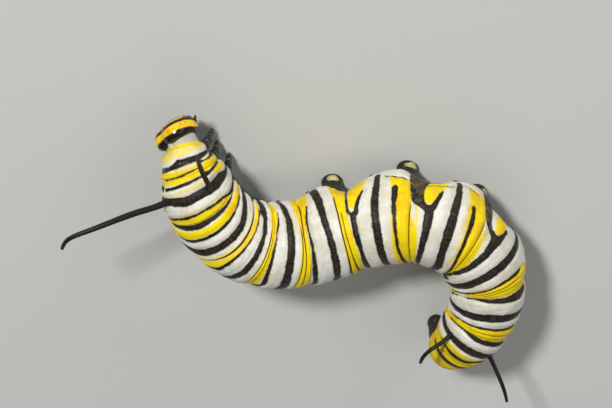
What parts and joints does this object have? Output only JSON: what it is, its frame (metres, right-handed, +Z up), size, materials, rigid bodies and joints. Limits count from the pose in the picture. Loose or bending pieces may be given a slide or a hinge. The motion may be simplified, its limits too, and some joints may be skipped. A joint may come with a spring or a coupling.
{
  "type": "monarch butterfly larva",
  "caption": "Life-size still model of a banded larva, bent in an S, on prolegs and true legs, with black filaments at both ends.",
  "frame": {"origin": "centre of the bounding box at its base, on the floor that the prolegs stand on", "axes": "+X from the head end towards the bend behind the middle of the body, along the longest side; +Z up, out of the floor; the head points to +Y and the tail to -Y"},
  "size_m": [0.0338, 0.0266, 0.0105],
  "materials": {
    "banded_skin": "soft dry skin with transverse bands of cream white, black and yellow",
    "head_shell": "glossy yellow and black shell",
    "black_cuticle": "satin black",
    "glossy_cuticle": "glossy black"
  },
  "bodies": {
    "root": {"head": "head_shell", "prothorax": "banded_skin", "mesothorax": "banded_skin", "metathorax": "banded_skin", "abdomen_1": "banded_skin", "abdomen_2": "banded_skin", "abdomen_3": "banded_skin", "abdomen_4": "banded_skin", "abdomen_5": "banded_skin", "abdomen_6": "banded_skin", "abdomen_7": "banded_skin", "abdomen_8": "banded_skin", "abdomen_9": "banded_skin", "abdomen_10": "banded_skin", "antenna_left": "black_cuticle", "antenna_right": "black_cuticle", "leg_1_left": "glossy_cuticle", "leg_1_right": "glossy_cuticle", "leg_2_left": "glossy_cuticle", "leg_2_right": "glossy_cuticle", "leg_3_left": "glossy_cuticle", "leg_3_right": "glossy_cuticle", "proleg_3_left": "black_cuticle", "proleg_3_right": "black_cuticle", "proleg_4_left": "black_cuticle", "proleg_4_right": "black_cuticle", "proleg_5_left": "black_cuticle", "proleg_5_right": "black_cuticle", "proleg_6_left": "black_cuticle", "proleg_6_right": "black_cuticle", "anal_proleg_left": "black_cuticle", "anal_proleg_right": "black_cuticle", "front_filament_left": "black_cuticle", "front_filament_right": "black_cuticle", "rear_filament_left": "black_cuticle", "rear_filament_right": "black_cuticle"}
  },
  "joints": []
}
